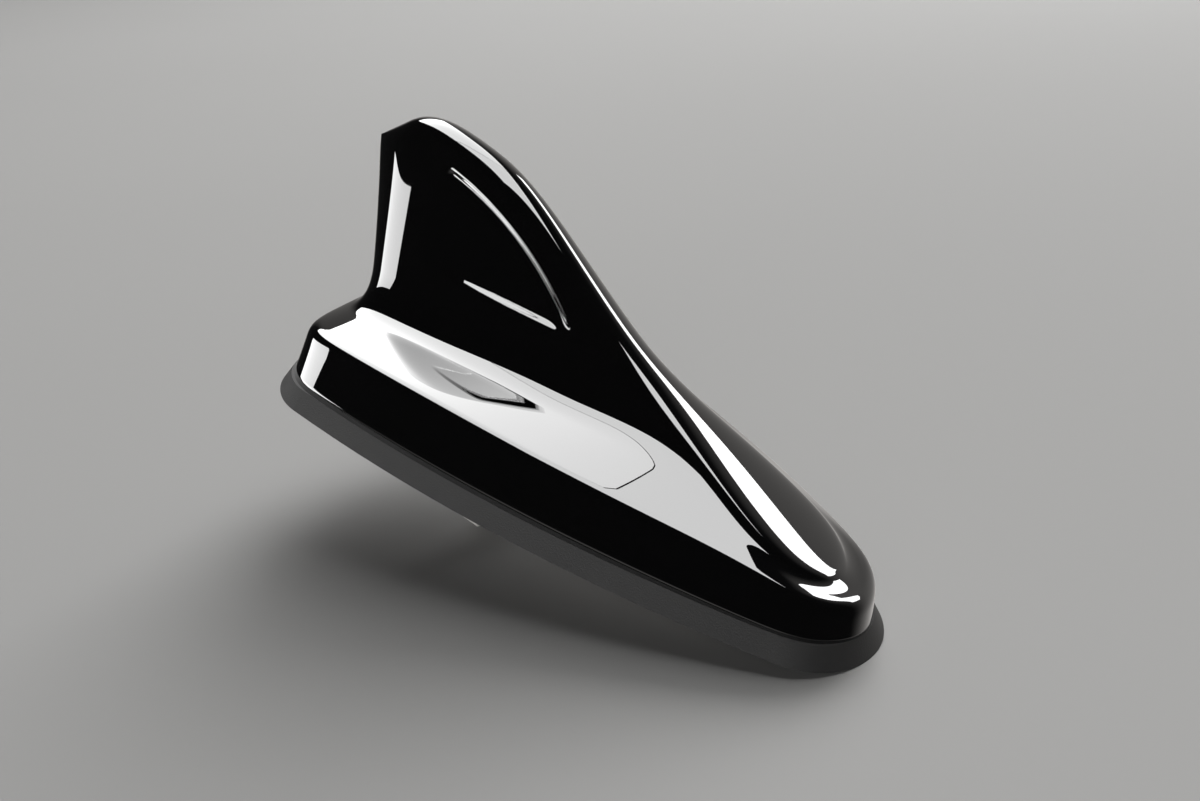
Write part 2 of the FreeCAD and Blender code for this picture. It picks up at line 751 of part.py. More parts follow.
# Pieces bound to the sheet by expressions. Short words stand for shared heights.
WORDS = {
    "board_low": "(sizes.gasket_height + sizes.post_height)",
    "board_top": "(sizes.gasket_height + sizes.post_height + sizes.board_thick)",
    "patch_low": "(sizes.gasket_height + sizes.post_height + sizes.board_thick + sizes.pad_thick)",
    "slot_low": "(sizes.gasket_height + sizes.post_height + sizes.board_thick + sizes.holder_floor)",
    "board_rear": "(sizes.board_tail_gap - sizes.tail_reach)",
    "board_front": "(sizes.cover_length - sizes.tail_reach - sizes.board_nose_gap)",
    "patch_x": "(sizes.cover_length - sizes.tail_reach - sizes.board_nose_gap - sizes.patch_nose_gap)",
    "holder_rear": "(sizes.holder_tail_gap - sizes.tail_reach)",
    "upright_rear": "(sizes.upright_tail_gap - sizes.tail_reach)",
    "upright_front": "(sizes.holder_tail_gap - sizes.tail_reach + sizes.holder_length + sizes.upright_lead)",
    "upright_rear_top": "(sizes.gasket_height + sizes.fin_rear_height - sizes.upright_rear_gap)",
    "upright_top": "(sizes.gasket_height + sizes.fin_height - sizes.upright_peak_gap)",
    "upright_brow_top": "(sizes.gasket_height + sizes.fin_height - sizes.upright_brow_gap)",
    "upright_front_top": "(sizes.gasket_height + sizes.ridge_foot_rise - sizes.upright_foot_gap)",
    "claw_low": "(sizes.bolt_head + sizes.washer_thick - sizes.bolt_drop)",
    "side_low": "(sizes.holder_half + sizes.can_side_gap)",
    "boss_low": "(-sizes.boss_depth)",
}


def bound(text):
    """Expression text with size names and shared heights spelled out for the sheet."""
    words = []
    for word in text.split():
        if word in WORDS:
            words.append(WORDS[word])
        elif word in SIZES:
            words.append("sizes." + word)
        else:
            words.append(word)
    return " ".join(words)


def seat(obj, x="0", y="0", z="0"):
    for axis, text in zip("xyz", (x, y, z)):
        obj.setExpression("Placement.Base." + axis, bound(text))
    return obj


def box(label, length, width, height, x, y, z):
    obj = doc.addObject("Part::Box", label)
    obj.setExpression("Length", bound(length))
    obj.setExpression("Width", bound(width))
    obj.setExpression("Height", bound(height))
    return seat(obj, x, y, z)


def rod(label, radius, height, x, y, z):
    obj = doc.addObject("Part::Cylinder", label)
    obj.setExpression("Radius", bound(radius))
    obj.setExpression("Height", bound(height))
    return seat(obj, x, y, z)


def combine(kind, label, base_piece, tool):
    obj = doc.addObject("Part::" + kind, label)
    obj.Base = base_piece
    obj.Tool = tool
    obj.Label = label
    return obj


def padded(label, role, corners, length, symmetric, shift="0"):
    """Body padded from a polygon on an origin plane; every corner is bound to the sheet."""
    body = doc.addObject("PartDesign::Body", label)
    sketch = body.newObject("Sketcher::SketchObject", label + "_profile")
    plane = [item for item in body.Origin.OriginFeatures if item.Role == role][0]
    sketch.AttachmentSupport = [(plane, "")]
    sketch.MapMode = "FlatFace"
    sketch.setExpression("AttachmentOffset.Base.z", bound(shift))
    count = len(corners)
    values = [tuple(sheet_value(text) for text in corner) for corner in corners]
    for i, start in enumerate(values):
        end = values[(i + 1) % count]
        sketch.addGeometry(Part.LineSegment(Vector(*start, 0), Vector(*end, 0)))
    for i in range(count):
        sketch.addConstraint(Sketcher.Constraint("Coincident", i, 2, (i + 1) % count, 1))
    for i, corner in enumerate(corners):
        for kind, text, value in zip(("DistanceX", "DistanceY"), corner, values[i]):
            index = sketch.addConstraint(Sketcher.Constraint(kind, -1, 1, i, 1, value))
            sketch.setExpression("Constraints[%d]" % index, bound(text))
    pad = body.newObject("PartDesign::Pad", label + "_pad")
    pad.Profile = sketch
    pad.setExpression("Length", bound(length))
    pad.SideType = "Symmetric" if symmetric else "One side"
    return body


def sheet_value(text):
    """Present value of an expression on the sheet."""
    return float(sheet.evalExpression(bound(text).replace("sizes.", "")))


# Mounting bolt: hex head below, shank up into the boss
bolt_head = doc.addObject("Part::Prism", "bolt_hex_head")
bolt_head.Polygon = 6
bolt_head.setExpression("Circumradius", bound("bolt_hex / cos( 30 deg ) / 2"))
bolt_head.setExpression("Height", bound("bolt_head"))
seat(bolt_head, z="- bolt_drop")
bolt_shank = rod("bolt_shank", "bolt_size / 2", "bolt_drop - bolt_head + bolt_in_boss - boss_depth - fit_gap",
                 "0", "0", "bolt_head - bolt_drop")
combine("Fuse", "mounting_bolt", bolt_head, bolt_shank)

washer_disc = rod("washer_disc", "washer_outer / 2", "washer_thick", "0", "0", "bolt_head - bolt_drop")
washer_hole = rod("washer_hole", "bolt_size / 2 + thread_gap", "washer_thick",
                  "0", "0", "bolt_head - bolt_drop")
combine("Cut", "bolt_washer", washer_disc, washer_hole)

# Claw: spring steel strip bent up at both ends, drawn up by the bolt
claw = padded("claw_strip", "YZ_Plane", [
    ("- claw_half", "claw_low"),
    ("claw_half", "claw_low"),
    ("claw_half + claw_lean", "claw_low + claw_rise"),
    ("claw_half + claw_lean - claw_sheet", "claw_low + claw_rise"),
    ("claw_half - claw_sheet", "claw_low + claw_sheet"),
    ("claw_sheet - claw_half", "claw_low + claw_sheet"),
    ("claw_sheet - claw_half - claw_lean", "claw_low + claw_rise"),
    ("- claw_half - claw_lean", "claw_low + claw_rise"),
], "claw_width", True)
claw_hole = rod("claw_hole", "bolt_size / 2 + fit_gap", "claw_sheet", "0", "0", "claw_low")
combine("Cut", "claw_bracket", claw, claw_hole)

# Cable gland: rubber bush in the boss, with a lip under it
gland_bush = rod("gland_bush", "cable_hole / 2", "boss_depth + gasket_height + gland_lip",
                 "cable_offset", "0", "boss_low - gland_lip")
gland_lip = rod("gland_lip_ring", "cable_hole / 2 + gland_lip", "gland_lip", "cable_offset", "0",
                "boss_low - gland_lip")
gland_bore = rod("gland_bore_hole", "gland_bore / 2", "boss_depth + gasket_height + gland_lip",
                 "cable_offset", "0", "boss_low - gland_lip")
combine("Cut", "cable_gland", combine("Fuse", "gland_body", gland_bush, gland_lip), gland_bore)

# Main board with holes over the posts
blank = padded("board_blank", "XY_Plane", [
    ("board_rear", "- board_half"),
    ("board_front - board_taper_run", "- board_half"),
    ("board_front", "- board_front_half"),
    ("board_front", "board_front_half"),
    ("board_front - board_taper_run", "board_half"),
    ("board_rear", "board_half"),
], "board_thick", False, "board_low")
holes = doc.addObject("Part::MultiFuse", "board_holes")
holes.Shapes = [
    rod("board_hole_%d" % i, "board_screw / 2 + thread_gap", "board_thick", x, y, "board_low")
    for i, (x, y) in enumerate([
        ("board_rear + post_rear_inset", "- post_rear_spread"),
        ("board_rear + post_rear_inset", "post_rear_spread"),
        ("board_front - post_front_inset", "- post_front_spread"),
        ("board_front - post_front_inset", "post_front_spread"),
    ])
]
combine("Cut", "main_board", blank, holes)

# Upright board in its slotted holder, with a folded metal cap on its top edge
holder_block = box("holder_block", "holder_length", "2 * holder_half", "holder_height",
                   "holder_rear", "- holder_half", "board_top")
holder_slot = box("holder_slot", "holder_length", "upright_thick + 2 * thread_gap", "holder_height",
                  "holder_rear", "- upright_thick / 2 - thread_gap", "slot_low")
combine("Cut", "fin_board_holder", holder_block, holder_slot)

padded("fin_board", "XZ_Plane", [
    ("upright_rear", "slot_low"),
    ("upright_front", "slot_low"),
    ("upright_front", "upright_front_top"),
    ("upright_rear + upright_brow_run", "upright_brow_top"),
    ("upright_rear + upright_peak_run", "upright_top"),
    ("upright_rear", "upright_rear_top"),
], "upright_thick", True)

edge_drop = "( upright_top - upright_brow_top ) / ( upright_brow_run - upright_peak_run ) * cap_inset"
CAP_REAR = "upright_rear + upright_peak_run + cap_inset"
CAP_FRONT = "upright_rear + upright_brow_run - cap_inset"


def cap_profile(lift, depth):
    """Four corners of a band along the board's top edge."""
    return [
        (CAP_REAR, "upright_top - %s - %s" % (edge_drop, depth)),
        (CAP_FRONT, "upright_brow_top + %s - %s" % (edge_drop, depth)),
        (CAP_FRONT, "upright_brow_top + %s + %s" % (edge_drop, lift)),
        (CAP_REAR, "upright_top - %s + %s" % (edge_drop, lift)),
    ]


cap_outer = padded("cap_outer", "XZ_Plane", cap_profile("cap_gap + cap_sheet", "cap_depth"),
                   "upright_thick + 2 * cap_gap + 2 * cap_sheet", True)
cap_inner = padded("cap_inner", "XZ_Plane", cap_profile("cap_gap", "cap_depth"),
                   "upright_thick + 2 * cap_gap", True)
combine("Cut", "top_load_plate", cap_outer, cap_inner)

# Patch antenna on its adhesive pad, with a metal face and a feed pin down to the board
PATCH_X = "patch_x - patch_side / 2"
PIN_X = "patch_x + pin_offset"
pin_drill = "pin_size / 2 + thread_gap"
PATCH_Y = "- patch_side / 2"
pad_block = box("pad_block", "patch_side", "patch_side", "pad_thick", PATCH_X, PATCH_Y, "board_top")
pad_hole = rod("pad_hole", pin_drill, "pad_thick", PIN_X, "0", "board_top")
combine("Cut", "patch_pad", pad_block, pad_hole)
patch_block = box("patch_block", "patch_side", "patch_side", "patch_height", PATCH_X, PATCH_Y, "patch_low")
patch_hole = rod("patch_hole", pin_drill, "patch_height", PIN_X, "0", "patch_low")
combine("Cut", "patch_antenna", patch_block, patch_hole)
PLATE_SIDE = "patch_side - 2 * patch_margin"
PATCH_TOP = "patch_low + patch_height"
plate = box("electrode_block", PLATE_SIDE, PLATE_SIDE, "electrode_thick",
            PATCH_X + " + patch_margin", PATCH_Y + " + patch_margin", PATCH_TOP)
plate_hole = rod("electrode_hole", pin_drill, "electrode_thick", PIN_X, "0", PATCH_TOP)
combine("Cut", "patch_electrode", plate, plate_hole)
pin_reach = "pad_thick + patch_height + electrode_thick"
pin_shank = rod("pin_shank", "pin_size / 2", pin_reach, PIN_X, "0", "board_top")
pin_head = rod("pin_head", "pin_size", "electrode_thick", PIN_X, "0", PATCH_TOP + " + electrode_thick")
combine("Fuse", "patch_pin", pin_shank, pin_head)

# Shield can: pressed lid, open to the board
can_block = box("can_block", "can_length", "can_width", "can_height", "- can_rear_x", "side_low", "board_top")
can_inside = box("can_inside",
                 "can_length - 2 * can_wall", "can_width - 2 * can_wall", "can_height - can_wall",
                 "can_wall - can_rear_x", "side_low + can_wall", "board_top")
combine("Cut", "shield_can", can_block, can_inside)


def bent_blade(label, role, upright, turn, sheet_size, foot, height, width, shift="0"):
    """Angle bent from sheet: an upright, and a foot on the board that turns + or - from it."""
    foot_end = "%s %s %s" % (upright, turn, foot)
    inner_face = "%s %s %s" % (upright, turn, sheet_size)
    return padded(label, role, [
        (upright, "board_top"),
        (foot_end, "board_top"),
        (foot_end, "board_top + " + sheet_size),
        (inner_face, "board_top + " + sheet_size),
        (inner_face, "board_top + " + height),
        (upright, "board_top + " + height),
    ], width, True, shift)


# Telephone blades at both ends of the board and the leaf that feeds the upright board
bent_blade("phone_blade_rear", "XZ_Plane", "board_rear + blade_rear_inset", "+",
           "blade_sheet", "blade_foot", "blade_height", "blade_rear_width")
bent_blade("phone_blade_front", "XZ_Plane", "board_front - blade_front_inset", "-",
           "blade_sheet", "blade_foot", "blade_height", "blade_front_width")
bent_blade("contact_spring", "YZ_Plane", "upright_thick / 2", "+", "spring_sheet", "spring_foot",
           "spring_height", "spring_width", "upright_front - spring_width")

NODES = [
    "fin_cover", "roof_gasket", "base_plate", "cover_seal", "hole_seal", "retainer_clip", "mounting_bolt",
    "bolt_washer", "claw_bracket", "cable_gland", "cover_screws", "board_screws", "main_board",
    "board_connectors", "fin_board", "fin_board_holder", "top_load_plate", "contact_spring", "patch_antenna",
    "patch_electrode", "patch_pin", "patch_pad", "shield_can", "phone_blade_front", "phone_blade_rear",
]

doc.recompute()
for obj in doc.Objects:
    if "Invalid" in obj.State or "Error" in obj.State:
        raise RuntimeError("failed object: " + obj.Name)
for node in NODES:
    shape = doc.getObject(node).Shape
    if shape.isNull() or not shape.isValid() or not shape.Solids:
        raise RuntimeError("bad shape: " + node)

os.makedirs("parts", exist_ok=True)
for node in NODES:
    doc.getObject(node).Shape.exportStep("parts/%s.step" % node)
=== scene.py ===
import json
import math

import bmesh
import bpy
import numpy as np
from mathutils import Matrix, Vector


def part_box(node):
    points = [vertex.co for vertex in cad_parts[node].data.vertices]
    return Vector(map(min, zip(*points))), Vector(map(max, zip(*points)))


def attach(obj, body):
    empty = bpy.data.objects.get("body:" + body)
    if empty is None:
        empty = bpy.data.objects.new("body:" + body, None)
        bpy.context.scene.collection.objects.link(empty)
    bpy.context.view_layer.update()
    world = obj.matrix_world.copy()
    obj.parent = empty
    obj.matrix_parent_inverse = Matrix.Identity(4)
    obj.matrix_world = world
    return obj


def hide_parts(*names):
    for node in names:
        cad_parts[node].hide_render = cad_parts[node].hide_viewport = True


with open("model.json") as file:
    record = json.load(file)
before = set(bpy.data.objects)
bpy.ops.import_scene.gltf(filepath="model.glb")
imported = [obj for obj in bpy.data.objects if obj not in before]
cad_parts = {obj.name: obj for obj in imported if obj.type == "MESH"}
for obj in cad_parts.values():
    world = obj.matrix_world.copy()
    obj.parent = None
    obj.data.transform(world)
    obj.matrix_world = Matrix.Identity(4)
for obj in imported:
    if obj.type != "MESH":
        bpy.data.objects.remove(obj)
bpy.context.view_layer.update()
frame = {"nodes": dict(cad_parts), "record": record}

MM = 0.001

# Sizes of the CAD cover: its seam outline, wall and shoulder crease
SEAM = 4.8 * MM
TAIL = -60 * MM
COVER_LENGTH = 166 * MM
COVER_WIDTH = 66.5 * MM
WIDEST_FROM_TAIL = 20.4 * MM
TAIL_RADIUS = 62 * MM
CORNER_RADIUS = 14.4 * MM
NOSE_RADIUS = 14.8 * MM
COVER_WALL = 2.2 * MM
TAIL_DRAFT = 6.5 * MM
WALL_DRAFT = 2.7 * MM
NOSE_DRAFT = 0.8 * MM
SHOULDER_TAIL = 15 * MM
SHOULDER_MID = 16.5 * MM
SHOULDER_NOSE = 8.5 * MM
TAIL_DROP = 3 * MM
TAIL_ROUND = 5 * MM
SHOULDER_ROUND = 1.3 * MM
NOSE_ROUND = 3 * MM

# Fin root, from tail to nose
ROOT_TAIL_GAP = 9.5 * MM
ROOT_NOSE_GAP = 6.5 * MM
ROOT_TAIL_RUN = 13 * MM
ROOT_NOSE_RUN = 14 * MM
ROOT_HALF = 11.2 * MM
WAIST_HALF = 6.4 * MM
HOOD_HALF = 10.4 * MM
ROOT_WIDE_FROM_TAIL = 41.5 * MM
WAIST_FROM_TAIL = 112 * MM
HOOD_FROM_TAIL = 146 * MM
ROOT_RISE_TAIL = 16 * MM
ROOT_RISE_MID = 21.5 * MM
ROOT_RISE_WAIST = 23.5 * MM
ROOT_RISE_NOSE = 9 * MM
SHELF_BLEND = 6 * MM
ROOT_BLEND = 10 * MM

# Fin ridge and spine, seen from the side
FIN_TAIL_GAP = 7.6 * MM
FIN_REAR_HEIGHT = 57.6 * MM
PEAK_FROM_FIN_REAR = 19 * MM
FIN_HEIGHT = 70 * MM
BROW_FROM_TAIL = 56 * MM
BROW_DROP = 4.2 * MM
RIDGE_FOOT_FROM_TAIL = 97 * MM
RIDGE_FOOT_RISE = 36.9 * MM
SPINE_NOSE_GAP = 9.5 * MM
SPINE_NOSE_RISE = 11.4 * MM
RIDGE_RADII = (9 * MM, 38 * MM, 75 * MM)
RIDGE_HALF = 3.6 * MM
SPINE_HALF = 5 * MM
HOOD_RIDGE_HALF = 9 * MM
RIDGE_TAIL_RUN = 17 * MM
RIDGE_NOSE_RUN = 12 * MM
RIDGE_ROUND = 6.5 * MM

# Sunk side panels of the fin
PANEL_REAR_FROM_TAIL = 31 * MM
PANEL_FRONT_FROM_TAIL = 84.5 * MM
PANEL_TOP_FROM_TAIL = 37 * MM
PANEL_LOW_RISE = 34.8 * MM
PANEL_TOP_RISE = 61.5 * MM
PANEL_BOW = 5 * MM
PANEL_DEPTH = 1 * MM

# Soft edges of those panels, which are sharp on the CAD solid, and how widely they blend in the corners
PANEL_FRONT_BEVEL = 2.8 * MM
PANEL_REAR_BEVEL = 1.2 * MM
PANEL_FOOT_BEVEL = 2 * MM
PANEL_CORNER_REACH = 1.6

# Bosses inside the cover for its screws
PILLAR_HEIGHT = 3.2 * MM
PILLAR_RADIUS = 3.5 * MM
COVER_SCREW = 2.9 * MM
THREAD_GAP = 0.1 * MM
COVER_SCREW_REACH = 5.5 * MM
COVER_SCREW_TAIL_GAP = 20 * MM
COVER_SCREW_SIDE_GAP = 11.75 * MM
COVER_SCREW_NOSE_GAP = 15 * MM
BOSS_SIDES = 48

# How the skin is divided: spline poles, and shares of the way from tail to nose
POLE_COUNT = 22
TAIL_SHARE = 0.28
CORNER_SHARE = 0.42
NOSE_START = 0.6
NOSE_SHARE = 0.86

# Longest blend as a share of its run, and how far the inner ridge lies below the outer one, in walls
LONGEST_SHARE = 0.45
RIDGE_INSET = 1.4

# Rows of control points of a skin profile, from the seam up
(SEAM_ROW, EDGE_LOW_ROW, SHOULDER_ROW, EDGE_HIGH_ROW, SHELF_ROW, ROOT_ROW,
 SIDE_LOW_ROW, SIDE_HIGH_ROW, RIDGE_ROW, CROWN_ROW) = range(10)

# Bands of a skin, with their steps: two rows are a flat band and three a round one
OUTER_BANDS = [
    ((SEAM_ROW, EDGE_LOW_ROW), 6),
    ((EDGE_LOW_ROW, SHOULDER_ROW, EDGE_HIGH_ROW), 10),
    ((EDGE_HIGH_ROW, SHELF_ROW), 10),
    ((SHELF_ROW, ROOT_ROW, SIDE_LOW_ROW), 18),
    ((SIDE_LOW_ROW, SIDE_HIGH_ROW), 72),
    ((SIDE_HIGH_ROW, RIDGE_ROW, CROWN_ROW), 18),
]
INNER_BANDS = [
    ((SEAM_ROW, SHOULDER_ROW), 4),
    ((SHOULDER_ROW, ROOT_ROW), 6),
    ((ROOT_ROW, RIDGE_ROW, CROWN_ROW), 14),
]

# Runs of a skin from tail to nose, with their steps, and the distance that joins its rows
SKIN_RUNS = [
    (0, TAIL_SHARE, 64),
    (TAIL_SHARE, NOSE_START, 134),
    (NOSE_START, NOSE_SHARE, 64),
    (NOSE_SHARE, 1, 36),
]
WELD_DISTANCE = 0.002 * MM


def ease(value, stations):
    """Value that eases from one (place, value) station to the next."""
    if value <= stations[0][0]:
        return stations[0][1]
    for (x0, y0), (x1, y1) in zip(stations, stations[1:]):
        if value <= x1:
            part = (value - x0) / (x1 - x0)
            return y0 + (y1 - y0) * part * part * (3 - 2 * part)
    return stations[-1][1]


def outline_arcs(offset):
    """Arcs of the half outline at +Y, from tail to nose: centre x and y, radius, first and last angle."""
    half = COVER_WIDTH / 2
    nose_x = TAIL + COVER_LENGTH - NOSE_RADIUS
    wide_x = TAIL + WIDEST_FROM_TAIL
    side_run = (nose_x - wide_x) ** 2 + half ** 2 - NOSE_RADIUS ** 2
    side_radius = side_run / (2 * (half - NOSE_RADIUS))
    tail = np.array([TAIL + TAIL_RADIUS, 0.0])
    side = np.array([wide_x, half - side_radius])
    span = side - tail
    length = np.linalg.norm(span)
    reach = TAIL_RADIUS - CORNER_RADIUS
    along = (reach ** 2 - (side_radius - CORNER_RADIUS) ** 2 + length ** 2) / (2 * length)
    across = math.sqrt(reach ** 2 - along ** 2)
    axis = span / length
    normal = np.array([-axis[1], axis[0]])
    crossings = [tail + axis * along + normal * turn * across for turn in (-1, 1)]
    corner = max(crossings, key=lambda crossing: crossing[1])
    angle_tail = math.atan2(*(corner - tail)[::-1])
    angle_side = math.atan2(*(corner - side)[::-1])
    angle_nose = math.atan2(-side[1], nose_x - side[0])
    return [
        (*tail, TAIL_RADIUS + offset, math.pi, angle_tail),
        (*corner, CORNER_RADIUS + offset, angle_tail, angle_side),
        (*side, side_radius + offset, angle_side, angle_nose),
        (nose_x, 0.0, NOSE_RADIUS + offset, angle_nose, 0.0),
    ]


def arc_point(arc, share):
    x, y, radius, first, last = arc
    angle = first + (last - first) * share
    return x + radius * math.cos(angle), y + radius * math.sin(angle)


def outline_point(offset, u):
    """Point of the near half outline: u runs 0 at the tail to 1 at the nose."""
    tail, corner, side, nose = outline_arcs(offset)
    if u <= TAIL_SHARE:
        tail_length = tail[2] * abs(tail[4] - tail[3])
        corner_length = corner[2] * abs(corner[4] - corner[3])
        run = (tail_length + corner_length) * u / TAIL_SHARE
        if run <= tail_length:
            x, y = arc_point(tail, run / tail_length)
        else:
            x, y = arc_point(corner, (run - tail_length) / corner_length)
    elif u <= NOSE_SHARE:
        x, y = arc_point(side, (u - TAIL_SHARE) / (NOSE_SHARE - TAIL_SHARE))
    else:
        x, y = arc_point(nose, (u - NOSE_SHARE) / (1 - NOSE_SHARE))
    return x, -y


def ridge_corners():
    rear_x = TAIL + FIN_TAIL_GAP
    return [np.array(corner) for corner in (
        (rear_x, SEAM + FIN_REAR_HEIGHT),
        (rear_x + PEAK_FROM_FIN_REAR, SEAM + FIN_HEIGHT),
        (TAIL + BROW_FROM_TAIL, SEAM + FIN_HEIGHT - BROW_DROP),
        (TAIL + RIDGE_FOOT_FROM_TAIL, SEAM + RIDGE_FOOT_RISE),
        (TAIL + COVER_LENGTH - SPINE_NOSE_GAP, SEAM + SPINE_NOSE_RISE),
    )]


def ridge_height(x):
    """Height of the ridge line at x: straight runs joined by tangent arcs."""
    corners = ridge_corners()
    for before, corner, after, radius in zip(corners, corners[1:], corners[2:], RIDGE_RADII):
        back = (before - corner) / np.linalg.norm(before - corner)
        ahead = (after - corner) / np.linalg.norm(after - corner)
        half = math.acos(np.dot(back, ahead)) / 2
        middle = (back + ahead) / np.linalg.norm(back + ahead)
        centre = corner + middle * radius / math.sin(half)
        setback = radius / math.tan(half)
        if corner[0] + back[0] * setback <= x <= corner[0] + ahead[0] * setback:
            rise = math.sqrt(radius ** 2 - (x - centre[0]) ** 2)
            return centre[1] - math.copysign(1, middle[1]) * rise
    for start, end in zip(corners, corners[1:]):
        if x <= end[0] or end is corners[-1]:
            return start[1] + (end[1] - start[1]) * (x - start[0]) / (end[0] - start[0])


def loop_point(u, rear_x, nose_x, rear_run, nose_run, half_width):
    """Loop with elliptic ends; its half width along the side is a function of x."""
    rear_end = rear_x + rear_run
    nose_end = nose_x - nose_run
    if u <= TAIL_SHARE:
        angle = math.pi / 2 * u / TAIL_SHARE
        return rear_end - rear_run * math.cos(angle), half_width(rear_end) * math.sin(angle)
    if u <= NOSE_SHARE:
        x = rear_end + (nose_end - rear_end) * (u - TAIL_SHARE) / (NOSE_SHARE - TAIL_SHARE)
        return x, half_width(x)
    angle = math.pi / 2 * (u - NOSE_SHARE) / (1 - NOSE_SHARE)
    return nose_end + nose_run * math.sin(angle), half_width(nose_end) * math.cos(angle)


def shoulder_point(u, inset):
    draft = ease(u, [
        (0, TAIL_DRAFT),
        (CORNER_SHARE, WALL_DRAFT),
        (NOSE_START, WALL_DRAFT),
        (1, NOSE_DRAFT),
    ])
    x, y = outline_point(-inset - draft, u)
    place = (x - TAIL) / (COVER_LENGTH / 2) - 1
    mean = (SHOULDER_TAIL + SHOULDER_NOSE) / 2
    slope = (SHOULDER_NOSE - SHOULDER_TAIL) / 2
    rise = SHOULDER_MID + place * slope + place ** 2 * (mean - SHOULDER_MID)
    drop = ease(u, [(0, TAIL_DROP), (CORNER_SHARE, 0)])
    return np.array([x, y, SEAM + rise - drop - inset])


def root_half_width(x):
    wide = TAIL + ROOT_WIDE_FROM_TAIL
    waist = TAIL + WAIST_FROM_TAIL
    hood = TAIL + HOOD_FROM_TAIL
    return ease(x, [(wide, ROOT_HALF), (waist, WAIST_HALF), (hood, HOOD_HALF)])


def root_rise(x):
    middle = TAIL + COVER_LENGTH / 2
    waist = TAIL + WAIST_FROM_TAIL
    nose = TAIL + COVER_LENGTH
    return ease(x, [
        (TAIL, ROOT_RISE_TAIL),
        (middle, ROOT_RISE_MID),
        (waist, ROOT_RISE_WAIST),
        (nose, ROOT_RISE_NOSE),
    ])


def root_point(u, inset):
    rear_x = TAIL + ROOT_TAIL_GAP + inset
    nose_x = TAIL + COVER_LENGTH - ROOT_NOSE_GAP - inset
    x, half = loop_point(u, rear_x, nose_x, ROOT_TAIL_RUN, ROOT_NOSE_RUN,
                         lambda at: root_half_width(at) - inset)
    return np.array([x, -half, SEAM + root_rise(x) - inset])


def ridge_half_width(x):
    brow = TAIL + BROW_FROM_TAIL
    foot = TAIL + RIDGE_FOOT_FROM_TAIL
    hood = TAIL + HOOD_FROM_TAIL
    return ease(x, [(brow, RIDGE_HALF), (foot, SPINE_HALF), (hood, HOOD_RIDGE_HALF)])


def ridge_point(u, inset):
    rear_x = TAIL + FIN_TAIL_GAP + inset
    nose_x = TAIL + COVER_LENGTH - SPINE_NOSE_GAP - inset
    x, half = loop_point(u, rear_x, nose_x, RIDGE_TAIL_RUN, RIDGE_NOSE_RUN,
                         lambda at: ridge_half_width(at) - inset)
    return np.array([x, -half, ridge_height(x) - RIDGE_INSET * inset])


def toward(start, end, distance):
    """Point on the way from start to end, short of its middle."""
    share = min(distance / np.linalg.norm(end - start), LONGEST_SHARE)
    return start + (end - start) * share


def skin_profile(u, inset):
    """Control points of one profile from the seam to the ridge line."""
    seam = np.array([*outline_point(-inset, u), SEAM])
    shoulder = shoulder_point(u, inset)
    root = root_point(u, inset)
    ridge = ridge_point(u, inset)
    crown = ridge * np.array([1, 0, 1])
    edge = ease(u, [
        (0, TAIL_ROUND),
        (CORNER_SHARE, SHOULDER_ROUND),
        (NOSE_START, SHOULDER_ROUND),
        (1, NOSE_ROUND),
    ])
    return [
        seam,
        toward(shoulder, seam, edge),
        shoulder,
        toward(shoulder, root, edge),
        toward(root, shoulder, SHELF_BLEND),
        root,
        toward(root, ridge, ROOT_BLEND),
        toward(ridge, root, RIDGE_ROUND),
        ridge,
        crown,
    ]


def spline_weights(places, count, degree=3):
    """Weight of each pole of a clamped spline at each place, and where its poles are sampled."""
    spans = count - degree
    knots = np.concatenate([np.zeros(degree), np.linspace(0, 1, spans + 1), np.ones(degree)])
    at = np.clip(np.asarray(places, float), 0, 1 - 1e-9)[:, None]
    weights = ((at >= knots[:-1]) & (at < knots[1:])).astype(float)
    for step in range(1, degree + 1):
        rise = knots[step:-1] - knots[:-step - 1]
        fall = knots[step + 1:] - knots[1:-step]
        up = (at - knots[:-step - 1]) / np.where(rise > 0, rise, 1) * (rise > 0)
        down = (knots[step + 1:] - at) / np.where(fall > 0, fall, 1) * (fall > 0)
        weights = up * weights[:, :-1] + down * weights[:, 1:]
    samples = [knots[i + 1:i + degree + 1].mean() for i in range(count)]
    return weights, samples


def skin_grid(places, bands, inset):
    """Points of the near half of a skin, [place along u][place from seam to crown]."""
    weights, samples = spline_weights(places, POLE_COUNT)
    poles = np.array([skin_profile(u, inset) for u in samples])
    for near, end in ((1, 0), (-2, -1)):
        poles[near, :-1, 0] = poles[end, :-1, 0]
        poles[near, :-1, 2] = poles[end, :-1, 2]
    controls = np.einsum("up,prk->urk", weights, poles)
    rows = []
    for rows_used, steps in bands:
        first, *middle, last = [controls[:, row] for row in rows_used]
        for step in range(steps):
            t = step / steps
            point = first * (1 - t) + last * t
            if middle:
                point = first * (1 - t) ** 2 + middle[0] * 2 * t * (1 - t) + last * t ** 2
            rows.append(point)
    rows.append(controls[:, -1])
    return np.stack(rows, axis=1)


def smooth_step(value):
    part = np.clip(value, 0, 1)
    return part * part * (3 - 2 * part)


def soft_minimum(a, b, reach):
    overlap = np.maximum(reach - np.abs(a - b), 0) / reach
    return np.minimum(a, b) - overlap ** 2 * reach / 4


def fin_side(x, rise):
    """Half width of the flat fin side at x and a height above the seam."""
    low = root_rise(x)
    high = ridge_height(x) - SEAM
    widening = ridge_half_width(x) - root_half_width(x)
    return root_half_width(x) + widening * (rise - low) / (high - low)


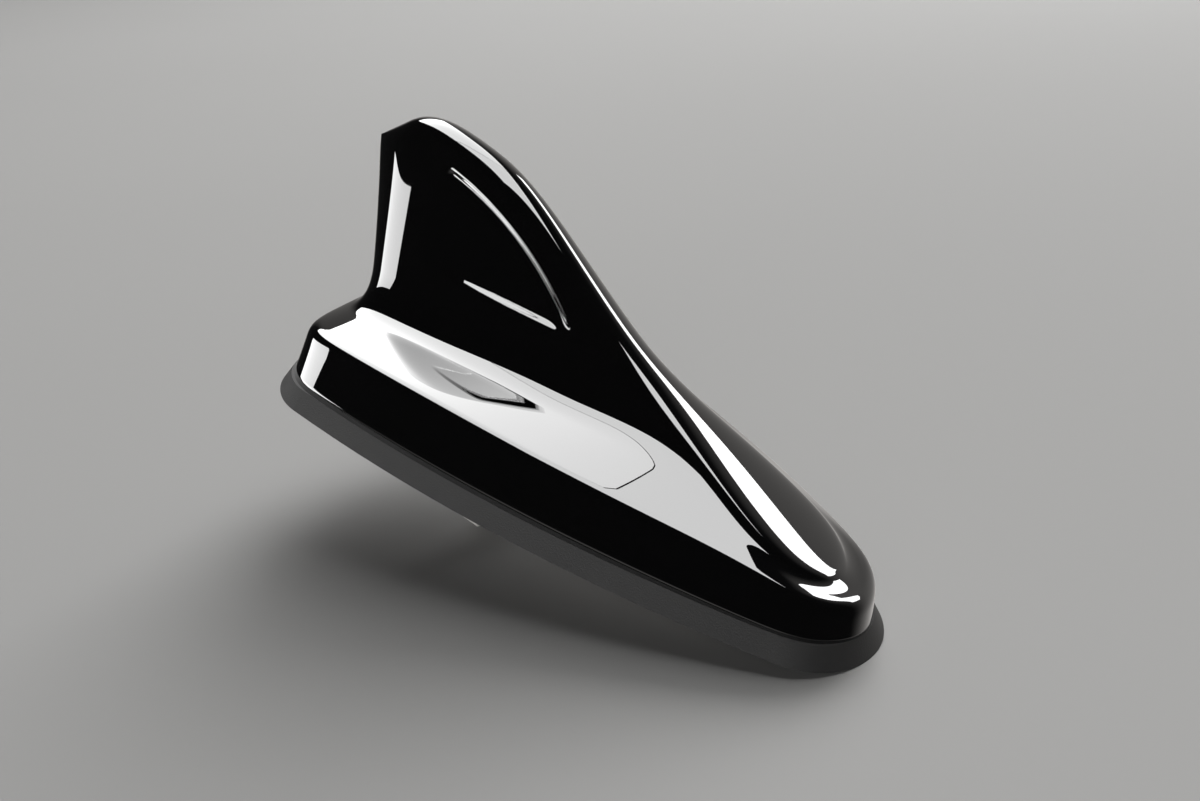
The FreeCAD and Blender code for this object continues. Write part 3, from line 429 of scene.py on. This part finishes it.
def sink_panels(points):
    """Sinks the triangular side panels: deep at the front and foot, fading out to the rear."""
    rear = (TAIL + PANEL_REAR_FROM_TAIL, PANEL_LOW_RISE, 0.0)
    front = (TAIL + PANEL_FRONT_FROM_TAIL, PANEL_LOW_RISE, PANEL_DEPTH)
    top = (TAIL + PANEL_TOP_FROM_TAIL, PANEL_TOP_RISE, PANEL_DEPTH)
    corners = np.array([(x, SEAM + rise) for x, rise, depth in (rear, front, top)])
    floor = np.array([fin_side(x, rise) - depth for x, rise, depth in (rear, front, top)])
    plane = np.linalg.solve(np.column_stack([np.ones(3), corners]), floor)
    x, y, z = points[..., 0], points[..., 1], points[..., 2]
    chord = corners[2] - corners[1]
    half_chord = np.linalg.norm(chord) / 2
    outward = np.array([-chord[1], chord[0]]) / (2 * half_chord)
    outward *= np.sign(outward[1])
    bow_radius = (half_chord ** 2 + PANEL_BOW ** 2) / (2 * PANEL_BOW)
    centre = (corners[1] + corners[2]) / 2 + outward * (PANEL_BOW - bow_radius)
    from_front = bow_radius - np.hypot(x - centre[0], z - centre[1])
    rear_edge = (corners[2] - corners[0]) / np.linalg.norm(corners[2] - corners[0])
    from_rear = (x - corners[0, 0]) * rear_edge[1] - (z - corners[0, 1]) * rear_edge[0]
    from_foot = z - corners[0, 1]
    inside = from_front / PANEL_FRONT_BEVEL
    for other in (from_foot / PANEL_FOOT_BEVEL, from_rear / PANEL_REAR_BEVEL):
        inside = soft_minimum(inside, other, PANEL_CORNER_REACH)
    depth = np.maximum(-y - (plane[0] + plane[1] * x + plane[2] * z), 0)
    sunk = points.copy()
    sunk[..., 1] += depth * smooth_step(inside)
    return sunk


def grid_faces(rows, columns, start, flip):
    faces = []
    for i in range(rows - 1):
        for j in range(columns - 1):
            a = start + i * columns + j
            quad = (a, a + columns, a + columns + 1, a + 1)
            faces.append(quad[::-1] if flip else quad)
    return faces


def mesh_piece(name, points, faces):
    mesh = bpy.data.meshes.new(name)
    mesh.from_pydata([tuple(p) for p in points], [], faces)
    mesh.validate()
    mesh.update()
    mesh.polygons.foreach_set("use_smooth", [True] * len(mesh.polygons))
    piece = bpy.data.objects.new(name, mesh)
    bpy.context.scene.collection.objects.link(piece)
    return piece


def weld(piece, distance):
    """Joins the rows that halves and skins share."""
    work = bmesh.new()
    work.from_mesh(piece.data)
    bmesh.ops.remove_doubles(work, verts=work.verts, dist=distance)
    bmesh.ops.dissolve_degenerate(work, edges=work.edges, dist=distance)
    bmesh.ops.recalc_face_normals(work, faces=work.faces)
    work.to_mesh(piece.data)
    work.free()


def even_places(runs):
    """Places along u: each run is (start, end, steps), and the last place is 1."""
    places = [start + (end - start) * i / steps for start, end, steps in runs for i in range(steps)]
    return np.array(places + [1.0])


def turned_bosses(spans):
    """Turned bosses, each from (x, y, low) up to a height, with a pilot hole in its lower end."""
    pilot = (COVER_SCREW + THREAD_GAP) / 2
    angles = np.linspace(0, 2 * math.pi, BOSS_SIDES + 1)
    points = []
    faces = []
    for (x, y, low), high in spans:
        end = low + COVER_SCREW_REACH
        outside = [(0, high), (PILLAR_RADIUS, high), (PILLAR_RADIUS, low)]
        profile = outside + [(pilot, low), (pilot, end), (0, end)]
        faces += grid_faces(len(angles), len(profile), len(points), False)
        points += [(x + radius * math.cos(angle), y + radius * math.sin(angle), height)
                   for angle in angles for radius, height in profile]
    bosses = mesh_piece("bosses", points, faces)
    weld(bosses, WELD_DISTANCE)
    return bosses


def join(piece, other):
    """Boolean union of two closed pieces, of which the other is used up."""
    union = piece.modifiers.new(other.name, "BOOLEAN")
    union.object = other
    union.operation = "UNION"
    union.solver = "EXACT"
    joined = piece.evaluated_get(bpy.context.evaluated_depsgraph_get())
    mesh = bpy.data.meshes.new_from_object(joined)
    piece.modifiers.clear()
    piece.data = mesh
    bpy.data.objects.remove(other)


def wall_middle(piece, x, y, low):
    """Height of the middle of the wall over a place inside the cover."""
    hit, inner, *rest = piece.ray_cast((x, y, low), (0, 0, 1))
    hit, outer, *rest = piece.ray_cast((x, y, inner.z + COVER_WALL / 4), (0, 0, 1))
    return (inner.z + outer.z) / 2


def add_bosses(piece):
    """Bosses that stand down from the cover's wall, with pilot holes for its screws."""
    low = SEAM + PILLAR_HEIGHT
    rear = TAIL + COVER_SCREW_TAIL_GAP
    side = COVER_WIDTH / 2 - COVER_SCREW_SIDE_GAP
    nose = TAIL + COVER_LENGTH - COVER_SCREW_NOSE_GAP
    places = [(rear, -side, low), (rear, side, low), (nose, 0, low)]
    join(piece, turned_bosses([(place, wall_middle(piece, *place)) for place in places]))


def make_cover():
    """Moulded cover: outer skin with sunk panels, inner skin, seam face between them, and bosses."""
    places = even_places(SKIN_RUNS)
    outer = sink_panels(skin_grid(places, OUTER_BANDS, 0.0))
    inner = skin_grid(places, INNER_BANDS, COVER_WALL)
    seam = np.stack([outer[:, 0], inner[:, 0]], axis=1)
    points = []
    faces = []
    for grid, inward in ((outer, False), (inner, True), (seam, True)):
        for side in (1, -1):
            half = grid * np.array([1, side, 1])
            faces += grid_faces(grid.shape[0], grid.shape[1], len(points), inward == (side == 1))
            points += list(half.reshape(-1, 3))
    piece = mesh_piece("gloss_cover", points, faces)
    weld(piece, WELD_DISTANCE)
    add_bosses(piece)
    return piece


class Wire:
    """A value in a material's node tree. Sums and products of wires add Math nodes."""

    def __init__(self, tree, socket=None):
        self.tree = tree
        self.socket = socket

    def node(self, kind, settings=None, inputs=None, output=0):
        """Adds a node, sets it up, feeds its sockets and gives the wire that leaves it."""
        made = self.tree.nodes.new(kind)
        for name, value in (settings or {}).items():
            setattr(made, name, value)
        for name, value in (inputs or {}).items():
            if isinstance(value, Wire):
                self.tree.links.new(value.socket, made.inputs[name])
            else:
                made.inputs[name].default_value = value
        return Wire(self.tree, made.outputs[output] if made.outputs else None)

    def maths(self, operation, first, second):
        return self.node("ShaderNodeMath", {"operation": operation}, {0: first, 1: second})

    def __add__(self, other):
        return self.maths("ADD", self, other)

    def __radd__(self, other):
        return self.maths("ADD", other, self)

    def __mul__(self, other):
        return self.maths("MULTIPLY", self, other)

    def __rmul__(self, other):
        return self.maths("MULTIPLY", other, self)

    def place(self):
        """Place on the piece, in metres in the part's own frame."""
        return self.node("ShaderNodeTexCoord", output="Object")

    def grain(self, scale, detail=3.0, stretch=None):
        """Noise between 0 and 1, with features of about 1 / scale metres."""
        place = self.place()
        if stretch:
            place = self.node("ShaderNodeVectorMath", {"operation": "MULTIPLY"}, {0: place, 1: stretch})
        return self.node("ShaderNodeTexNoise", inputs={"Vector": place, "Scale": scale, "Detail": detail})

    def between(self, share, first, second):
        """Colour that goes from first to second as share goes from 0 to 1."""
        return self.node("ShaderNodeMix", {"data_type": "RGBA"},
                         {"Factor": share, 6: (*first, 1), 7: (*second, 1)}, 2)

    def bumps(self, height, depth):
        """Normal of a surface with a relief of a depth in metres."""
        return self.node("ShaderNodeBump", inputs={"Height": height, "Distance": depth, "Strength": 1.0})


def gloss_black(start):
    """Polished black moulding with the faintest cloudiness."""
    cloud = start.grain(60)
    return {
        "Base Color": start.between(cloud, (0.0025, 0.0025, 0.0027), (0.0045, 0.0045, 0.0048)),
        "Roughness": 0.012 + cloud * 0.012,
        "IOR": 1.52,
        "Coat Weight": 1.0,
        "Coat Roughness": 0.01,
        "Coat IOR": 1.5,
    }


def grey_rubber(start):
    """Matte gasket rubber with a fine moulded grain and dusty patches."""
    dust = start.grain(90, 5.0)
    pores = start.grain(2600, 2.0)
    return {
        "Base Color": start.between(dust, (0.028, 0.028, 0.028), (0.046, 0.045, 0.044)),
        "Roughness": 0.58 + dust * 0.12,
        "Specular IOR Level": 0.35,
        "Normal": start.bumps(pores, 0.00006),
    }


def black_rubber(start):
    dust = start.grain(140, 4.0)
    pores = start.grain(3000, 2.0)
    return {
        "Base Color": start.between(dust, (0.014, 0.014, 0.015), (0.026, 0.026, 0.026)),
        "Roughness": 0.62 + dust * 0.16,
        "Normal": start.bumps(pores, 0.00005),
    }


def dull_casting(start):
    """Die-cast alloy: slightly mottled, with a sandy skin."""
    mottle = start.grain(180, 5.0)
    sand = start.grain(2200, 3.0)
    return {
        "Base Color": start.between(mottle, (0.40, 0.40, 0.405), (0.55, 0.55, 0.545)),
        "Metallic": 1.0,
        "Roughness": 0.40 + mottle * 0.16,
        "Normal": start.bumps(sand, 0.00005),
    }


def natural_acetal(start):
    flow = start.grain(110, 3.0)
    return {
        "Base Color": start.between(flow, (0.70, 0.69, 0.64), (0.78, 0.77, 0.73)),
        "Roughness": 0.36 + flow * 0.1,
    }


def zinc_plate(start):
    """Zinc plating: pale, with faint cloudy bloom."""
    bloom = start.grain(400, 5.0)
    return {
        "Base Color": start.between(bloom, (0.56, 0.57, 0.58), (0.70, 0.70, 0.68)),
        "Metallic": 1.0,
        "Roughness": 0.22 + bloom * 0.18,
    }


def bright_spring(start):
    """Rolled spring steel, brushed along the strip."""
    streak = start.grain(2400, 2.0, (1.0, 0.06, 0.06))
    return {
        "Base Color": start.between(streak, (0.60, 0.60, 0.60), (0.74, 0.74, 0.73)),
        "Metallic": 1.0,
        "Roughness": 0.12 + streak * 0.14,
    }


def green_laminate(start):
    """Glass laminate under solder mask, with the weave just showing."""
    weave = start.grain(1500, 1.0)
    cloud = start.grain(120, 3.0)
    return {
        "Base Color": start.between(cloud, (0.012, 0.11, 0.045), (0.02, 0.16, 0.07)),
        "Roughness": 0.30 + weave * 0.12,
        "Normal": start.bumps(weave, 0.00002),
    }


def plated_brass(start):
    bloom = start.grain(500, 4.0)
    return {
        "Base Color": start.between(bloom, (0.70, 0.50, 0.20), (0.82, 0.64, 0.32)),
        "Metallic": 1.0,
        "Roughness": 0.18 + bloom * 0.14,
    }


def black_moulding(start):
    flow = start.grain(150, 3.0)
    sparks = start.grain(2800, 2.0)
    return {
        "Base Color": start.between(flow, (0.030, 0.030, 0.032), (0.048, 0.048, 0.050)),
        "Roughness": 0.45 + flow * 0.12,
        "Normal": start.bumps(sparks, 0.00004),
    }


def tin_plate(start):
    """Tinned sheet with soft rolling streaks."""
    streak = start.grain(900, 3.0, (0.1, 1.0, 1.0))
    return {
        "Base Color": start.between(streak, (0.60, 0.60, 0.58), (0.74, 0.74, 0.72)),
        "Metallic": 1.0,
        "Roughness": 0.24 + streak * 0.16,
    }


def fired_ceramic(start):
    speck = start.grain(1100, 4.0)
    return {
        "Base Color": start.between(speck, (0.62, 0.55, 0.44), (0.76, 0.70, 0.60)),
        "Roughness": 0.5 + speck * 0.2,
    }


def white_foam(start):
    cells = start.grain(1800, 2.0)
    return {
        "Base Color": start.between(cells, (0.60, 0.60, 0.59), (0.78, 0.78, 0.77)),
        "Roughness": 0.8 + cells * 0.1,
        "Normal": start.bumps(cells, 0.0001),
    }


FINISHES = {
    "cover_gloss": gloss_black,
    "gasket_rubber": grey_rubber,
    "base_casting": dull_casting,
    "seal_rubber": black_rubber,
    "clip_plastic": natural_acetal,
    "plated_steel": zinc_plate,
    "spring_steel": bright_spring,
    "board_laminate": green_laminate,
    "contact_brass": plated_brass,
    "holder_plastic": black_moulding,
    "tinned_sheet": tin_plate,
    "ceramic": fired_ceramic,
    "pad_foam": white_foam,
}


def make_material(name, finish):
    material = bpy.data.materials.new(name)
    material.use_nodes = True
    material.node_tree.nodes.clear()
    start = Wire(material.node_tree)
    shader = start.node("ShaderNodeBsdfPrincipled", inputs=finish(start))
    start.node("ShaderNodeOutputMaterial", inputs={"Surface": shader})
    return material


MATERIALS = {slot: make_material(slot, finish) for slot, finish in FINISHES.items()}


def dress(piece, slot):
    piece.data.materials.clear()
    piece.data.materials.append(MATERIALS[slot])


def add_piece(piece, slot, *nodes):
    """A piece of the scene that stands for CAD nodes, in the finish of a slot."""
    dress(piece, slot)
    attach(piece, "root")
    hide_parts(*nodes)


for subpart in frame["record"]["subparts"]:
    dress(frame["nodes"][subpart["node"]], subpart["material_slot"])

add_piece(make_cover(), "cover_gloss", "fin_cover")

# Floor: a plane under the gasket's nose and the bolt's head, which the part leans on
NOSE_REST_X = 109 * MM
BOLT_REST_X = 5.8 * MM
FLOOR_SIZE = 20.0
bolt_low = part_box("mounting_bolt")[0][2]
floor_pitch = math.atan2(-bolt_low, NOSE_REST_X - BOLT_REST_X)


def pale_floor(start):
    drift = start.grain(1.4, 2.0)
    return {
        "Base Color": start.between(drift, (0.40, 0.398, 0.393), (0.43, 0.428, 0.423)),
        "Roughness": 0.5 + drift * 0.05,
        "Specular IOR Level": 0.0,
    }


def make_floor():
    reach = FLOOR_SIZE / 2
    corners = [(-reach, -reach, 0), (reach, -reach, 0), (reach, reach, 0), (-reach, reach, 0)]
    floor = mesh_piece("floor", corners, [(0, 1, 2, 3)])
    floor.data.materials.append(make_material("pale_floor", pale_floor))
    pitch = Matrix.Rotation(-floor_pitch, 4, "Y")
    floor.matrix_world = Matrix.Translation((NOSE_REST_X, 0, 0)) @ pitch
    floor.visible_glossy = False


make_floor()


def aim(place, target):
    """Rotation of a lamp or camera at place that looks at target."""
    return (Vector(target) - Vector(place)).to_track_quat("-Z", "Y").to_matrix().to_4x4()


def make_panel(name, placing, width, depth, brightness, mirrored=True, lit=False):
    """Lamp panel. The gloss shows a mirrored one; a lit one lights the floor and the matte pieces."""
    lamp = bpy.data.lights.new(name, "AREA")
    lamp.shape = "RECTANGLE"
    lamp.size = width
    lamp.size_y = depth
    lamp.energy = brightness * width * depth
    panel = bpy.data.objects.new(name, lamp)
    panel.matrix_world = placing
    panel.visible_camera = False
    panel.visible_glossy = mirrored
    panel.visible_diffuse = lit
    bpy.context.scene.collection.objects.link(panel)


# Lamps stand round the middle of the fin, and the level ones hang at one height over it
FIN_MIDDLE = Vector((0.02, 0.0, 0.03))
LAMP_HEIGHT = 0.9
SHELF_TURN = math.radians(-39)


def facing(way, reach):
    """Placing of a panel that stands off from the fin on the way given, and faces it."""
    place = FIN_MIDDLE + Vector(way).normalized() * reach
    return Matrix.Translation(place) @ aim(place, FIN_MIDDLE)


def overhead(x, y, turn=0.0):
    """Placing of a level panel: x and y are its middle's offset, in lamp heights."""
    place = FIN_MIDDLE + Vector((x, y, 1)) * LAMP_HEIGHT
    return Matrix.Translation(place) @ Matrix.Rotation(turn, 4, "Z")


def make_lamps():
    """Soft lights for the floor and the rubber, and panels that the gloss shows as bright bands."""
    lit = {"mirrored": False, "lit": True}
    make_panel("key_light", facing((-0.35, 0.6, 1.0), 3.0), width=3.2, depth=3.2, brightness=5.5, **lit)
    make_panel("back_light", facing((-0.4, 0.9, 0.7), 3.0), width=2.2, depth=2.2, brightness=13.5, **lit)
    make_panel("front_fill", facing((0.5, -0.9, 0.5), 2.0), width=1.4, depth=1.4, brightness=3.4, **lit)
    shelf = overhead(-1.446, 0.137, SHELF_TURN)
    wedge = overhead(-0.352, -0.747, SHELF_TURN)
    make_panel("shelf_mirror", shelf, width=1.967, depth=1.27, brightness=25)
    make_panel("wedge_mirror", wedge, width=0.549, depth=1.27, brightness=23)
    make_panel("spine_mirror", overhead(0.25, 0.85), width=0.81, depth=0.27, brightness=40)
    make_panel("tail_mirror", facing((-0.85, -0.45, -0.36), 0.4), width=0.13, depth=0.18, brightness=16)


make_lamps()

# Room behind the lamps: the axis that each bright part lies along, and where it begins and is full
BACK_WALL = ("Y", 0.2, 0.95)
LIT_GROUND = ("Z", -0.6, -0.85)
GROUND_SHARE = 0.7
DARK_ROOM = (0.012, 0.012, 0.012)
GREY_WALL = (0.60, 0.58, 0.56)


def room_part(start, way, axis, begin, full):
    """Share of a bright part of the room on the way given."""
    along = start.node("ShaderNodeSeparateXYZ", inputs={"Vector": way}, output=axis)
    return start.node("ShaderNodeMapRange", {"interpolation_type": "SMOOTHSTEP"},
                      {"Value": along, "From Min": begin, "From Max": full})


def make_world():
    """Dim room: a grey wall at the back, the lit floor straight below, and dark elsewhere."""
    world = bpy.data.worlds.new("studio")
    world.use_nodes = True
    world.node_tree.nodes.clear()
    start = Wire(world.node_tree)
    way = start.node("ShaderNodeTexCoord", output="Generated")
    back = room_part(start, way, *BACK_WALL)
    below = room_part(start, way, *LIT_GROUND)
    room = start.between(back + below * GROUND_SHARE, DARK_ROOM, GREY_WALL)
    shader = start.node("ShaderNodeBackground", inputs={"Color": room, "Strength": 1.0})
    start.node("ShaderNodeOutputWorld", inputs={"Surface": shader})
    bpy.context.scene.world = world


make_world()

# Camera at the photograph's viewing angle
CAMERA_TARGET = Vector((26.25 * MM, 1.77 * MM, 22.11 * MM))
CAMERA_PLACE = Vector((197.2 * MM, -206.9 * MM, 192.3 * MM))
CAMERA_ROLL = math.radians(6.6)
CAMERA_LENS = 40.62
CAMERA_SENSOR = 36
CAMERA_NEAR = 0.01


def make_camera():
    camera = bpy.data.objects.new("camera", bpy.data.cameras.new("camera"))
    camera.data.sensor_width = CAMERA_SENSOR
    camera.data.lens = CAMERA_LENS
    camera.data.clip_start = CAMERA_NEAR
    roll = Matrix.Rotation(CAMERA_ROLL, 4, "Z")
    camera.matrix_world = Matrix.Translation(CAMERA_PLACE) @ aim(CAMERA_PLACE, CAMERA_TARGET) @ roll
    bpy.context.scene.collection.objects.link(camera)
    bpy.context.scene.camera = camera
    bpy.context.scene.view_settings.view_transform = "Standard"


make_camera()
